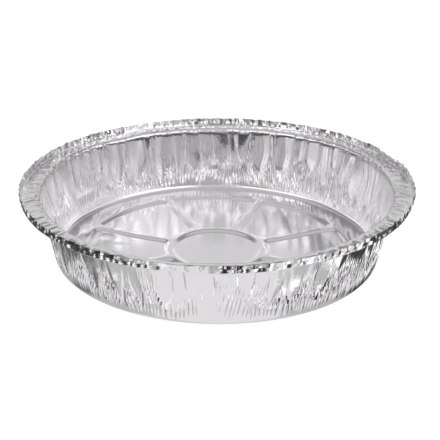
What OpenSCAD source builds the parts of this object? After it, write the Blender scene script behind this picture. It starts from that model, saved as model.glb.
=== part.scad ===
// Round foil pie pan, pressed from one disc of thin aluminium sheet.
// The base has a raised web of spokes, hub ring and outer ring round sunk panels.
// The wall is gathered: narrow folds rise from the corner and join, two by two, into
// wide petals. A flange that slopes down a little takes a card lid, and a crimped hem
// stands up round it.

/* [Base] */
// Diameter of the sharp corner in which wall and raised web would meet
foot_d = 193.8; // [170:0.2:215]
// Radius of the rounded corner between web and wall
corner_r = 2.8; // [1.5:0.1:5]
// Width of the flat outer ring of the web
ring_w = 13; // [6:0.1:16]
// Height of the web above the sunk panels, on which the pan stands
web_h = 1.2; // [0.4:0.05:2]
// Width of the flat crest of a spoke or of the hub ring
crest_w = 2.4; // [0.8:0.1:4]
// Run of the slope from the web down to a sunk panel
slope_w = 2.2; // [1:0.1:4]
// Number of spokes
spokes = 8; // [6:1:8]
// Angle of the first spoke, from the right hand side towards the back
spoke_turn = 24; // [0:1:45]
// Radius of the hub ring along its crest
hub_r = 28.4; // [20:0.2:36]
// Radius of the rounded corners of the sunk panels
panel_corner_r = 4.5; // [2:0.1:6]

/* [Wall] */
// Angle by which the wall leans outwards
wall_lean = 10.4; // [4:0.1:20]
// Height of the flange above the surface the pan stands on
flange_z = 42.5; // [30:0.1:55]
// Number of wide petals in the wall over each sunk panel
petals_per_panel = 5; // [3:1:5]
// Depth of the wide petals near the top of the wall
petal_depth = 1.5; // [0.5:0.05:2.5]
// Depth of the narrow folds in the lower half of the wall
fold_depth = 0.9; // [0.3:0.05:1.5]
// How far a fold leans sideways between its foot and its top, where it leans most
fold_slant = 3; // [0:0.1:6]
// How far a single crease strays from an even spacing
fold_stray = 0.5; // [0:0.05:0.8]

/* [Rim] */
// Width of the flange between the wall and the hem
flange_w = 11.2; // [6:0.1:14]
// How far the flange slopes down from the wall to the hem
flange_drop = 1.3; // [0:0.1:4]
// Radius of the shoulder where the wall turns into the flange
shoulder_r = 2; // [0.8:0.1:3]
// Height of the ripples that the folds leave in the flange
ripple_h = 0.35; // [0:0.05:0.8]
// Height of the crimped hem above the flange's outer edge
hem_h = 4.7; // [2:0.1:8]
// Angle by which the hem leans outwards
hem_lean = 4; // [0:1:20]
// Depth of the crimps in the hem
crimp_depth = 0.7; // [0.2:0.05:1.2]
// Depth of the dent pushed into the rim on the right, towards the back
dent_depth = 1.6; // [0:0.1:3]
// How much higher the bent rim stands on the right than over the pan's middle
rim_lift = 1.3; // [0:0.1:3]
// Half of the height by which the bent rim hangs lower at front and back than at the sides
rim_sag = 0.6; // [0:0.1:2]

/* [Foil] */
// Thickness of the foil
foil = 0.08; // [0.05:0.01:0.2]

/* [Hidden] */

// Radius of the bend between flange and hem
hem_bend = 0.8;
// Direction of the dent and half its width, in degrees
dent_angle = 21;
dent_spread = 5;
// Part of the dent felt at the flange's inner edge, its outer edge and the hem's top
dent_felt = [0.5, 0.9, 1.2];
// Heights of the rows of points up the wall, from its foot to its top
wall_rows = [0, 0.1, 0.24, 0.42, 0.62, 0.82, 1];
// Height, as a part of the wall, at which the narrow folds have all joined
join_v = 0.66;
// Height, as a part of the wall, at which the petals are deepest
deepest_v = 0.6;
// Part of the petals' depth that is left at the flange's inner edge
petal_left = 0.5;
// Part of the ripples' height that is left at the flange's outer edge
ripple_left = 0.6;
// Part of the crimps' depth that the hem has at its foot
crimp_foot = 0.6;
// Outward bulge across one petal: a crease, then a rounded crest
petal_form = [0, 0.78, 1, 0.78];
// Section of the slope down to a panel: part of the run, then part of the height
slope_form = [[0, 0.93], [0.5, 0.42], [1, 0]];

pitch = 360 / spokes;
arc_cols = 2 * petals_per_panel;
hub_cols = 4;
base_cols = spokes * arc_cols;
wall_cols = 2 * base_cols;
hem_cols = 2 * wall_cols;
petals = wall_cols / 4;

foot_r = foot_d / 2;
corner_mid_r = foot_r + corner_r * (sin(wall_lean) - 1) / cos(wall_lean);
web_r = corner_mid_r - ring_w + crest_w / 2;
flange_in_r = foot_r + (flange_z - web_h) * tan(wall_lean);
flange_out_r = flange_in_r + flange_w;
shoulder_cut = shoulder_r * tan((90 - wall_lean) / 2);
wall_foot = [corner_mid_r + corner_r * cos(wall_lean), web_h + corner_r * (1 - sin(wall_lean))];
wall_top = [flange_in_r, flange_z] - shoulder_cut * [sin(wall_lean), cos(wall_lean)];

petal_size = rands(0.55, 1.25, petals, 41);
fold_size = rands(0.3, 1.3, wall_cols, 17);
fold_drift = rands(-1, 1, wall_cols, 8);
ripple_size = rands(-1, 1, wall_cols, 23);
crimp_size = rands(0.35, 1, hem_cols, 5);
crimp_drift = rands(-0.3, 0.3, hem_cols, 12);

// Point at radius r and angle a, at height z
function polar(r, a, z = 0) = [r * cos(a), r * sin(a), z];
// Value between a and b at the part t of the way
function mix(a, b, t) = a + (b - a) * t;
// Shortest angle between two directions
function angle_gap(a, b) = abs(((a - b) % 360 + 540) % 360 - 180);
// Foil point on the upper (side 1) or under (side 0) skin, moved along the inward normal,
// which is tilted by lean: 0 over the base, 90 on an upright wall
function on_skin(p, a, lean, side) =
    p + side * foil * [-sin(lean) * cos(a), -sin(lean) * sin(a), cos(lean)];

// One sunk panel between the spokes at 0 and at pitch, as a loop of points at height z.
// Its edge keeps the distance gap from the crest lines round it.
function panel_loop(gap, z) =
    let (
        round_r = panel_corner_r,
        outer_r = web_r - gap,
        inner_r = hub_r + gap,
        outer_a = asin((gap + round_r) / (outer_r - round_r)),
        inner_a = asin((gap + round_r) / (inner_r + round_r)),
        outer_c = (outer_r - round_r) * [cos(outer_a), sin(outer_a)],
        inner_c = (inner_r + round_r) * [cos(inner_a), sin(inner_a)],
        outer_mid = outer_c + round_r * half_way([cos(outer_a), sin(outer_a)], [0, -1]),
        inner_mid = inner_c + round_r * half_way(-[cos(inner_a), sin(inner_a)], [0, -1]),
        outer_arc = [for (k = [1:arc_cols - 1])
            polar(outer_r, mix(outer_a, pitch - outer_a, (k - 1) / (arc_cols - 2)), z)],
        inner_arc = [for (k = [1:hub_cols - 1])
            polar(inner_r, mix(pitch - inner_a, inner_a, (k - 1) / (hub_cols - 2)), z)]
    )
    concat(
        [[outer_mid.x, outer_mid.y, z]],
        outer_arc,
        [across(outer_mid, z), across([outer_c.x, gap], z), across([inner_c.x, gap], z)],
        [across(inner_mid, z)],
        inner_arc,
        [[inner_mid.x, inner_mid.y, z], [inner_c.x, gap, z], [outer_c.x, gap, z]]
    );
// Unit vector half way between two directions
function half_way(u, v) = (u + v) / norm(u + v);
// Mirror image of a point of the panel in the panel's middle line
function across(p, z) =
    [p.x * cos(pitch) + p.y * sin(pitch), p.x * sin(pitch) - p.y * cos(pitch), z];
// Point p turned about the pan's axis
function turned(p, a) = [p.x * cos(a) - p.y * sin(a), p.x * sin(a) + p.y * cos(a), p.z];

// Outward bulge of the wall at a column and at the part v of its height
function bulge(i, v) =
    let (
        wide = petal_depth * petal_size[floor(i / 4) % petals] * petal_form[i % 4],
        narrow = (i % 2) * fold_depth * fold_size[i],
        narrow_part = v < join_v ? sin(180 * v / join_v) : 0
    )
    wide * pow(sin(90 * v / deepest_v), 1.5) + narrow * narrow_part;
// Slow swing of the folds' lean round the wall, between -1 and 1
function sway(a) = 0.65 * sin(3 * a + 40) + 0.35 * sin(7 * a);
// Sideways lean of a column, as an angle, at the part v of the height
function slant(i, v) =
    v * (fold_slant * sway(360 * i / wall_cols) + fold_stray * fold_drift[i]) / foot_r * 180 / PI;
// Depth of the dent in the direction a
function dent(a) = dent_depth * exp(-pow(angle_gap(a, dent_angle) / dent_spread, 2));

// Rise of the bent rim in the direction a
function warp(a) = rim_lift * cos(a) + rim_sag * cos(2 * a);

// Rows of points from the web's outer ring out to the hem, each a full turn
function ring_row(r, side) =
    [for (i = [0:base_cols - 1])
        let (a = spoke_turn + 360 * i / base_cols) on_skin(polar(r, a, web_h), a, 0, side)];
function corner_row(turn, side) =
    [for (i = [0:wall_cols - 1])
        let (a = spoke_turn + 360 * i / wall_cols,
             r = corner_mid_r + corner_r * sin(turn),
             z = web_h + corner_r * (1 - cos(turn)))
        on_skin(polar(r, a, z), a, turn, side)];
function wall_row(v, side) =
    [for (i = [0:wall_cols - 1])
        let (a = spoke_turn + 360 * i / wall_cols + slant(i, v),
             p = mix(wall_foot, wall_top, v),
             r = p.x + bulge(i, v) - dent(a) * dent_felt[0] * v * v)
        on_skin(polar(r, a, p.y + v * warp(a)), a, 90 - wall_lean, side)];
function flange_row(part, side) =
    [for (i = [0:wall_cols - 1])
        let (a = spoke_turn + 360 * i / wall_cols + slant(i, 1 - part / 2),
             crease = i % 4 == 0 ? -1 : ripple_size[i],
             inner = flange_in_r + shoulder_cut + bulge(i, 1) * petal_left,
             pushed = dent(a) * mix(dent_felt[0], dent_felt[1], part),
             r = mix(inner, flange_out_r - hem_bend, part) - pushed,
             ripple = ripple_h * crease * mix(1, ripple_left, part),
             z = flange_z + warp(a) - flange_drop * part + ripple)
        on_skin(polar(r, a, z), a, 0, side)];
function hem_row(part, side) =
    [for (i = [0:hem_cols - 1])
        let (a = spoke_turn + 360 * (i + crimp_drift[i] * part) / hem_cols + slant(floor(i / 2), 0.5),
             crimp = crimp_depth * crimp_size[i] * (i % 2 - 0.5) * mix(crimp_foot, 1, part),
             up = mix(hem_bend, hem_h, part),
             pushed = dent(a) * mix(dent_felt[1], dent_felt[2], part),
             r = flange_out_r + up * tan(hem_lean) + crimp - pushed,
             z = flange_z - flange_drop + warp(a) + up)
        on_skin(polar(r, a, z), a, 90 - hem_lean, side)];

// The skin is a list of blocks of points, and the start of each block follows from the
// lengths of those before it
function skin_blocks(side) = concat(
    [for (k = [2, 0])
        hub_row(hub_r - crest_w / 2 - slope_w * slope_form[k][0], web_h * slope_form[k][1], side)],
    [hub_row(hub_r, web_h, side), spoke_points(side)],
    [for (s = slope_form) panel_points(crest_w / 2 + slope_w * s[0], web_h * s[1], side)],
    [ring_row(web_r, side), ring_row(corner_mid_r, side)],
    [corner_row((90 - wall_lean) / 2, side)],
    [for (v = wall_rows) wall_row(v, side)],
    [flange_row(0, side), flange_row(1, side), hem_row(0, side), hem_row(1, side)]
);
function hub_row(r, z, side) =
    [for (i = [0:spokes * hub_cols - 1])
        let (a = spoke_turn + 360 * i / (spokes * hub_cols))
        on_skin(polar(r, a, z), a, 0, side)];
// Two points on the crest of each spoke, beside the rounded corners of the panels
function spoke_points(side) =
    let (loop = panel_loop(crest_w / 2, web_h), last = len(loop) - 1)
    [for (j = [0:spokes - 1], k = [last - 1, last])
        let (a = spoke_turn + j * pitch) on_skin(polar(loop[k].x, a, web_h), a, 0, side)];
function panel_points(gap, z, side) =
    [for (j = [0:spokes - 1], p = panel_loop(gap, z))
        on_skin(turned(p, spoke_turn + j * pitch), 0, 0, side)];

// Joins two rows of the same number of points
function band(low, high, cols) =
    [for (i = [0:cols - 1], half = [0, 1])
        let (n = (i + 1) % cols)
        half == 0 ? [low + i, low + n, high + n] : [low + i, high + n, high + i]];
// Joins a row to one above it with twice as many points
function split_band(low, high, cols) =
    [for (i = [0:cols - 1], third = [0, 1, 2])
        let (n = (i + 1) % cols, a = high + 2 * i, b = a + 1, c = high + (2 * i + 2) % (2 * cols))
        third == 0 ? [low + i, b, a] : third == 1 ? [low + i, low + n, b] : [low + n, c, b]];
// Joins two loops of panel points, given as lists of point numbers
function loop_band(outer, inner) =
    [for (i = [0:len(outer) - 1], half = [0, 1])
        let (n = (i + 1) % len(outer))
        half == 0 ? [inner[i], outer[n], outer[i]] : [inner[i], inner[n], outer[n]]];
// Point numbers of the crest lines round panel j
function crest_loop(j, hub, spoke, arc) =
    let (next = (j + 1) % spokes, hub_all = spokes * hub_cols)
    concat(
        [for (k = [0:arc_cols]) arc + (j * arc_cols + k) % base_cols],
        [spoke + 2 * next + 1, spoke + 2 * next],
        [for (k = [hub_cols:-1:0]) hub + (j * hub_cols + k) % hub_all],
        [spoke + 2 * j, spoke + 2 * j + 1]
    );

// Faces of one skin, with the inside of the pan in front. Blocks 0 to 2 are the hub,
// block 3 the spokes, 4 to 6 the panels' slopes, and the rest the rows round them.
function skin_faces(starts, lengths) =
    let (hub_n = lengths[0], loop_n = lengths[4] / spokes, last = len(starts) - 1)
    concat(
        [[for (i = [hub_n - 1:-1:0]) starts[0] + i]],
        [for (b = [0, 1]) each band(starts[b], starts[b + 1], hub_n)],
        [for (j = [0:spokes - 1])
            let (loops = [for (b = [4:6]) [for (k = [0:loop_n - 1]) starts[b] + j * loop_n + k]])
            each concat(
                loop_band(crest_loop(j, starts[2], starts[3], starts[7]), loops[0]),
                loop_band(loops[0], loops[1]),
                loop_band(loops[1], loops[2]),
                flipped([loops[2]])
            )],
        [for (b = [7:last - 1])
            each lengths[b] == lengths[b + 1]
                ? band(starts[b], starts[b + 1], lengths[b])
                : split_band(starts[b], starts[b + 1], lengths[b])]
    );
// Running total of a list, starting with 0
function running(list) =
    [for (i = 0, total = 0; i < len(list); total = total + list[i], i = i + 1) total];
function flipped(faces) = [for (f = faces) [for (k = [len(f) - 1:-1:0]) f[k]]];
function moved(faces, by) = [for (f = faces) [for (k = f) k + by]];

module pan() {
    under = skin_blocks(0);
    upper = skin_blocks(1);
    lengths = [for (block = under) len(block)];
    starts = running(lengths);
    total = starts[len(starts) - 1] + lengths[len(lengths) - 1];
    faces_up = skin_faces(starts, lengths);
    hem_top = starts[len(starts) - 1];
    points = concat([for (block = under) each block], [for (block = upper) each block]);
    faces = concat(
        flipped(faces_up),
        moved(faces_up, total),
        band(hem_top + total, hem_top, hem_cols)
    );
    color("silver")
    polyhedron(points = points, faces = faces, convexity = 12);
}

pan();
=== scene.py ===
"""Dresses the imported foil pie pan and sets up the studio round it.

The pan is one disc of thin aluminium, pressed into a spoked base, a gathered wall, a flange
that slopes down a little and a crimped hem. It is modelled as one skin in millimetres, in the
CAD frame, which is scaled to metres and thickened at the end.
"""

import logging
import math
from dataclasses import dataclass, field
from enum import Enum

import bmesh
import bpy
import numpy as np
from mathutils import Matrix, Vector


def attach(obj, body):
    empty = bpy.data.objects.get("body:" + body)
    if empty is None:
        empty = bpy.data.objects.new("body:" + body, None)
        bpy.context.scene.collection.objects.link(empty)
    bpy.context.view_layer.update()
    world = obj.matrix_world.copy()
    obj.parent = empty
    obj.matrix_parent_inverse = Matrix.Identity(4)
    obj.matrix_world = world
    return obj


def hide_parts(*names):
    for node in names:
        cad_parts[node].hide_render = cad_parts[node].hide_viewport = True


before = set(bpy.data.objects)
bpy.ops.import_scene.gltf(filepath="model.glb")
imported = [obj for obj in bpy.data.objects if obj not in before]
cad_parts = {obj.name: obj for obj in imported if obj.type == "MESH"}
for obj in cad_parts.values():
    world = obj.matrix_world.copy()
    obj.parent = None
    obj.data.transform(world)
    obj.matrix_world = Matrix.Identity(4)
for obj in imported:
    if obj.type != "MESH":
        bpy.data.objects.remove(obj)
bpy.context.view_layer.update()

MM = 0.001
FULL_TURN = 2 * math.pi
IMAGE_PX = 440
FOLD_LAYER = "fold_h"
LOG = logging.getLogger("pie_pan")


def fade(low: float, high: float, x: np.ndarray) -> np.ndarray:
    """Rises smoothly from 0 at low to 1 at high.

    Args:
        low: Value of x at which the rise starts.
        high: Value of x at which it ends. It may be below low, for a fall.
        x: Values to look up.

    Returns:
        The height of the rise at each x.
    """
    t = np.clip((x - low) / (high - low), 0, 1)
    return t * t * (3 - 2 * t)


def mix(a: np.ndarray | float, b: np.ndarray | float, t: np.ndarray | float) -> np.ndarray | float:
    """Value between a and b at the part t of the way."""
    return a + (b - a) * t


@dataclass(frozen=True)
class Rise:
    """Two values between which something grows smoothly from nothing to its full size.

    Attributes:
        start: Value at which it starts.
        full: Value at which it is full. It may be below start.
    """

    start: float
    full: float

    def at(self, x: np.ndarray) -> np.ndarray:
        """How much of it there is at each x, from 0 to 1."""
        return fade(self.start, self.full, x)


@dataclass
class RoundNoise:
    """Smooth random heights over a band that closes on itself round the pan.

    Attributes:
        cells: Number of cells in one full turn.
        rows: Number of cells over the band's height.
        seed: Seed of the random heights.
    """

    cells: int
    rows: int
    seed: int
    lattice: np.ndarray = field(init=False, repr=False)

    def __post_init__(self) -> None:
        """Draws the heights of the lattice points."""
        self.lattice = np.random.default_rng(self.seed).uniform(-1, 1, (self.rows + 1, self.cells))

    def at(self, turn: np.ndarray, part: np.ndarray) -> np.ndarray:
        """Looks the noise up.

        Args:
            turn: Place round the pan, 1 for a full turn.
            part: Place over the band's height, from 0 to 1.

        Returns:
            Heights between -1 and 1.
        """
        x = turn * self.cells
        y = np.clip(part, 0, 1) * self.rows
        col = np.floor(x).astype(int)
        row = np.minimum(np.floor(y).astype(int), self.rows - 1)
        across = fade(0, 1, x - col)
        up = fade(0, 1, y - row)
        left = mix(self.lattice[row, col % self.cells], self.lattice[row + 1, col % self.cells], up)
        next_col = (col + 1) % self.cells
        right = mix(self.lattice[row, next_col], self.lattice[row + 1, next_col], up)
        return mix(left, right, across)

    def along(self, turn: np.ndarray) -> np.ndarray:
        """Heights at the band's foot, at places round the pan."""
        return self.at(turn, np.zeros_like(turn))


@dataclass(frozen=True)
class Stretch:
    """A stretch round the pan where something is stronger, weaker or slanted.

    Attributes:
        angle: Direction of its middle, in degrees from the right towards the back.
        spread: Half its width in degrees.
        amount: How much is added there.
    """

    angle: float
    spread: float
    amount: float

    def at(self, angle: np.ndarray) -> np.ndarray:
        """What the stretch adds in a direction, given in radians."""
        off = np.degrees(np.mod(angle - math.radians(self.angle) + np.pi, FULL_TURN) - np.pi)
        return self.amount * np.exp(-(off / self.spread) ** 4)


def together(stretches: tuple[Stretch, ...], turn: np.ndarray) -> np.ndarray:
    """What several stretches add together at a place round the pan, 1 for a full turn."""
    return sum(stretch.at(turn * FULL_TURN) for stretch in stretches)


@dataclass
class PressedBase:
    """The base: a raised web of spokes, hub ring and outer ring round sunk panels.

    All sizes are in millimetres and all angles in degrees. Widths and radii are measured at the
    web's height.

    Attributes:
        web_h: Height of the web over the panels.
        crest_w: Width of the web's flat top.
        slope_w: Width of the slope from the web down into a panel.
        skin_r: Radius at which the base ends and the corner to the wall starts.
        cols_per_spoke: Columns of points from one spoke to the next.
        wave_h: Height of the broad waves that grow towards the base's edge.
        sway_h: Height of the gentle waves over all panels.
        sway_x: Length that sets how far apart the gentle waves lie along the first spoke.
        sway_y: The same across that spoke, for how they bend.
        ring_wave_h: Height of the close waves on the outer ring.
        crumple_h: Height of the crumpled patch, which lies at crumple_r and crumple_angle.
        crumple_core: Part of the patch's radius within which it has its full height.
        first_rows: Radii of the rows of points nearest the middle.
        hub_gaps: Distances of the next rows from the hub's slope.
        slope_parts: Places of the rows and columns on a slope, from 0 at its top to 1.
        inner_gaps: Distances from the slope of the rows in a panel's inner corners, and
            outer_gaps of those in its outer ones.
        panel_rows: Number of rows across the middle of a panel.
        crest_part: Place of a column on a spoke's flat top, from 0 in its middle to 1.
        spoke_gaps: Distances of the next columns from a spoke's slope.
    """

    web_h: float = 1.2
    spokes: int = 8
    spoke_turn: float = 24.0
    hub_r: float = 28.4
    crest_w: float = 2.4
    slope_w: float = 2.2
    panel_out_r: float = 81.5
    panel_corner_r: float = 4.5
    skin_r: float = 91.5
    cols_per_spoke: int = 31
    wave_h: float = 0.16
    sway_h: float = 0.2
    sway_x: float = 13.0
    sway_y: float = 11.0
    sway_bend: float = 0.8
    sway_start: float = 2.2
    sway_edge_w: float = 12.0
    ring_wave_h: float = 0.22
    crumple_h: float = 0.7
    crumple_w: float = 26.0
    crumple_r: float = 79.0
    crumple_angle: float = 165.0
    crumple_core: float = 0.4
    ring_waves_w: float = 4.0
    edge_w: float = 3.0
    first_rows: tuple[float, ...] = (0.0, 8.0, 16.0)
    hub_gaps: tuple[float, ...] = (4.0, 1.0)
    slope_parts: tuple[float, ...] = (0.0, 0.33, 0.67, 1.0)
    inner_gaps: tuple[float, ...] = (1.2, 2.7, 4.7)
    outer_gaps: tuple[float, ...] = (5.3, 3.3, 1.5)
    panel_rows: int = 6
    panel_in_gap: float = 5.5
    panel_out_gap: float = 10.5
    ring_rows: int = 4
    crest_part: float = 0.55
    spoke_gaps: tuple[float, ...] = (1.0, 2.2)

    @property
    def crumple_turn(self) -> float:
        """Direction of the crumpled patch from the first spoke, in radians."""
        return math.radians(self.crumple_angle - self.spoke_turn)

    def row_radii(self) -> list[float]:
        """Radii of the rows of points, close together on slopes and rounded corners.

        Returns:
            The radii, from the middle outwards.
        """
        half = self.crest_w / 2
        slope = self.slope_w
        hub_in = self.hub_r - half
        hub_out = self.hub_r + half
        hub_slope = [hub_in - slope * part for part in reversed(self.slope_parts)]
        before_slope = [hub_slope[0] - gap for gap in self.hub_gaps]
        inner_slope = [hub_out + slope * part for part in self.slope_parts]
        inner_corner = [inner_slope[-1] + gap for gap in self.inner_gaps]
        panel = np.linspace(inner_corner[-1] + self.panel_in_gap,
                            self.panel_out_r - self.panel_out_gap, self.panel_rows)
        outer_slope = [self.panel_out_r - slope * part for part in reversed(self.slope_parts)]
        outer_corner = [outer_slope[0] - gap for gap in self.outer_gaps]
        ring = np.linspace(self.panel_out_r, self.skin_r, self.ring_rows + 1)[1:]
        return [*self.first_rows, *before_slope, *hub_slope, self.hub_r, *inner_slope,
                *inner_corner, *panel, *outer_corner, *outer_slope, *ring]

    def column_angle(self, turn: np.ndarray, r: np.ndarray) -> np.ndarray:
        """Moves evenly spaced columns so that they run alongside the spokes.

        Args:
            turn: Place round the pan, measured from the first spoke, 1 for a full turn.
            r: Radius of each point.

        Returns:
            Angle of each point from the first spoke, in radians.
        """
        sector = FULL_TURN / self.spokes
        half = self.crest_w / 2
        slope = self.slope_w
        offsets = [0, half * self.crest_part]
        offsets += [half + slope * part for part in self.slope_parts]
        offsets += [half + slope + gap for gap in self.spoke_gaps]
        spoke = np.floor(turn * self.spokes)
        col = np.round((turn * self.spokes - spoke) * self.cols_per_spoke)
        mirrored = col > self.cols_per_spoke / 2
        near = np.where(mirrored, self.cols_per_spoke - col, col)
        reach = np.maximum(r, self.hub_r - half - self.slope_w)
        last = len(offsets) - 1
        beside = np.arcsin(np.interp(near, np.arange(last + 1), offsets) / reach)
        share = np.clip((near - last) / (self.cols_per_spoke / 2 - last), 0, 1)
        bent = mix(beside, sector / 2, share)
        even = near * sector / self.cols_per_spoke
        settled = mix(bent, even, fade(self.panel_out_r + 1, self.skin_r - 1, r))
        return spoke * sector + np.where(mirrored, sector - settled, settled)

    def sunk_part(self, angle: np.ndarray, r: np.ndarray) -> np.ndarray:
        """How far each point lies down the slope into a panel or the hub.

        Args:
            angle: Angle of each point from the first spoke, in radians.
            r: Radius of each point.

        Returns:
            0 on the web, 1 in a panel or the hub.
        """
        sector = FULL_TURN / self.spokes
        half = self.crest_w / 2
        from_spoke = np.mod(angle, sector)
        side = np.minimum(r * np.sin(from_spoke), r * np.sin(sector - from_spoke)) - half
        end = np.minimum(self.panel_out_r - r, r - self.hub_r - half)
        corner_r = self.panel_corner_r
        rounded = corner_r - np.hypot(corner_r - side, corner_r - end)
        in_corner = (side < corner_r) & (end < corner_r)
        inside = np.where(in_corner, rounded, np.minimum(side, end))
        in_hub = self.hub_r - half - r
        return fade(0, 1, np.maximum(inside, in_hub) / self.slope_w)

    def build(self, mesh: bmesh.types.BMesh) -> None:
        """Spins the flat web, then presses the hub and the panels into it.

        Args:
            mesh: Empty mesh that takes the base.
        """
        radii = self.row_radii()
        line = [mesh.verts.new((r, 0, 0)) for r in radii]
        edges = [mesh.edges.new(pair) for pair in zip(line, line[1:])]
        bmesh.ops.spin(mesh, geom=line + edges, cent=(0, 0, 0), axis=(0, 0, 1), angle=FULL_TURN,
                       steps=self.spokes * self.cols_per_spoke, use_merge=True)
        bmesh.ops.remove_doubles(mesh, verts=mesh.verts, dist=1e-4)
        co = np.array([v.co for v in mesh.verts])
        r = np.hypot(co[:, 0], co[:, 1])
        turn = np.mod(np.arctan2(co[:, 1], co[:, 0]) / FULL_TURN + 1e-6, 1)
        angle = self.column_angle(turn, r)
        height = self.web_h * (1 - self.sunk_part(angle, r))
        height += self.waves(angle, r)
        angle += math.radians(self.spoke_turn)
        for vert, rr, a, z in zip(mesh.verts, r, angle, height):
            vert.co = (rr * math.cos(a), rr * math.sin(a), z)

    def waves(self, angle: np.ndarray, r: np.ndarray) -> np.ndarray:
        """Waves of the thin sheet, all upwards, so that the pan still stands on its panels.

        Args:
            angle: Angle of each point from the first spoke, in radians.
            r: Radius of each point.

        Returns:
            Height that the waves add at each point.
        """
        turn = np.mod(angle / FULL_TURN, 1)
        wave = RoundNoise(cells=22, rows=5, seed=3).at(turn, r / self.skin_r)
        close = RoundNoise(cells=90, rows=16, seed=4).at(turn, r / self.skin_r)
        broad = self.wave_h * (0.5 + 0.5 * wave) * fade(self.hub_r, self.panel_out_r, r)
        x = r * np.cos(angle)
        y = r * np.sin(angle)
        bend = self.sway_bend * np.sin(y / self.sway_y)
        sway = 0.5 + 0.5 * np.sin(x / self.sway_x + bend + self.sway_start)
        broad += self.sway_h * sway * fade(self.panel_out_r, self.panel_out_r - self.sway_edge_w, r)
        on_ring = self.ring_wave_h * (0.5 + 0.5 * close)
        on_ring *= fade(self.panel_out_r, self.panel_out_r + self.ring_waves_w, r)
        away = np.hypot(x - self.crumple_r * math.cos(self.crumple_turn),
                        y - self.crumple_r * math.sin(self.crumple_turn))
        folds = RoundNoise(cells=76, rows=14, seed=5).at(turn, r / self.skin_r)
        crumple = self.crumple_h * (1 - np.abs(folds)) ** 2
        crumple *= fade(self.crumple_w, self.crumple_w * self.crumple_core, away)
        return broad + on_ring + crumple * fade(self.skin_r, self.skin_r - self.edge_w, r)


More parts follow.
